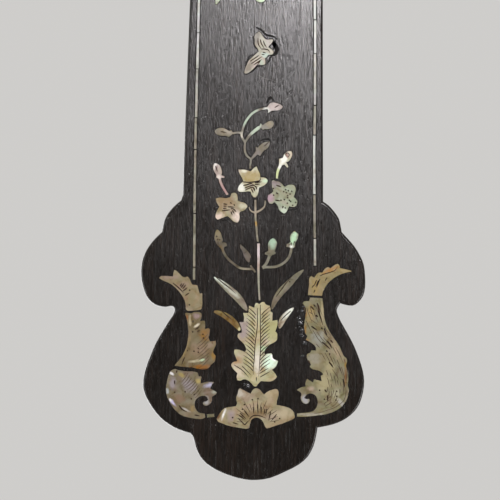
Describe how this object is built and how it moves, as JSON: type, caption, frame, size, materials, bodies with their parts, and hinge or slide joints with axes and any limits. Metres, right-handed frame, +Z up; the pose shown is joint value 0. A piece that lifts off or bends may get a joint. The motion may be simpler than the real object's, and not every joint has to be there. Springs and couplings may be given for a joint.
{
  "type": "moon lute",
  "caption": "Long-necked plucked lute with a round shallow body, high frets, side tuning pegs and a carved flat head inlaid with pearl flowers and leaves.",
  "frame": {"origin": "under the middle of the bounding box, level with the lowest point of the round body", "axes": "+Z up the neck towards the head, -Y out of the front (strings and pearl inlay), +X to the right of someone looking at the front with the head up"},
  "size_m": [0.34, 0.084, 1.0307],
  "materials": {
    "rosewood": "dark, polished by handling, fine straight grain",
    "paulownia": "aged pale board, open grain",
    "softwood": "raw, planed",
    "bamboo": "planed, worn on top",
    "bone": "polished bone",
    "mother_of_pearl": "polished shell, engraved",
    "silk": "twisted silk"
  },
  "bodies": {
    "lute": {"back_board": "rosewood", "back_brace": "softwood", "bridge": "rosewood", "fret_01": "bamboo", "fret_02": "bamboo", "fret_03": "bamboo", "fret_04": "bamboo", "fret_05": "bamboo", "fret_06": "bamboo", "fret_07": "bamboo", "fret_08": "bamboo", "fret_09": "bamboo", "fret_10": "bamboo", "heel_plate": "rosewood", "neck": "rosewood", "neck_block": "softwood", "nut": "bone", "pearl_acanthus_left_middle": "mother_of_pearl", "pearl_acanthus_left_scroll": "mother_of_pearl", "pearl_acanthus_left_top": "mother_of_pearl", "pearl_acanthus_right_scroll": "mother_of_pearl", "pearl_acanthus_right_top": "mother_of_pearl", "pearl_border_left": "mother_of_pearl", "pearl_border_right": "mother_of_pearl", "pearl_bud_left": "mother_of_pearl", "pearl_bud_right": "mother_of_pearl", "pearl_butterfly": "mother_of_pearl", "pearl_centre_leaf": "mother_of_pearl", "pearl_flower_centre": "mother_of_pearl", "pearl_flower_left": "mother_of_pearl", "pearl_flower_right": "mother_of_pearl", "pearl_leaf_bud": "mother_of_pearl", "pearl_leaf_lower_left": "mother_of_pearl", "pearl_leaf_lower_right": "mother_of_pearl", "pearl_leaf_upper_left": "mother_of_pearl", "pearl_leaf_upper_right": "mother_of_pearl", "pearl_palmette": "mother_of_pearl", "pearl_scroll_tail_left": "mother_of_pearl", "pearl_spray_left": "mother_of_pearl", "pearl_spray_right": "mother_of_pearl", "pearl_stem_lower": "mother_of_pearl", "pearl_stem_upper": "mother_of_pearl", "pearl_upper_leaves": "mother_of_pearl", "pearl_upper_spray": "mother_of_pearl", "rib_left": "rosewood", "rib_right": "rosewood", "soundboard": "paulownia", "soundboard_brace_lower": "softwood", "soundboard_brace_upper": "softwood", "string_bass": "silk", "string_treble": "silk", "tail_block": "softwood"},
    "peg_1": {"peg_1": "rosewood"},
    "peg_2": {"peg_2": "rosewood"},
    "peg_3": {"peg_3": "rosewood", "winding_treble": "silk"},
    "peg_4": {"peg_4": "rosewood", "winding_bass": "silk"}
  },
  "joints": [
    {"name": "peg_1_turn", "type": "hinge", "parent": "lute", "child": "peg_1", "pos_m": [0, -0.003, 0.84], "axis": [1, 0, 0], "continuous": true},
    {"name": "peg_2_turn", "type": "hinge", "parent": "lute", "child": "peg_2", "pos_m": [0, -0.003, 0.815], "axis": [-1, 0, 0], "continuous": true},
    {"name": "peg_3_turn", "type": "hinge", "parent": "lute", "child": "peg_3", "pos_m": [0, -0.003, 0.79], "axis": [1, 0, 0], "continuous": true},
    {"name": "peg_4_turn", "type": "hinge", "parent": "lute", "child": "peg_4", "pos_m": [0, -0.003, 0.765], "axis": [-1, 0, 0], "continuous": true}
  ]
}
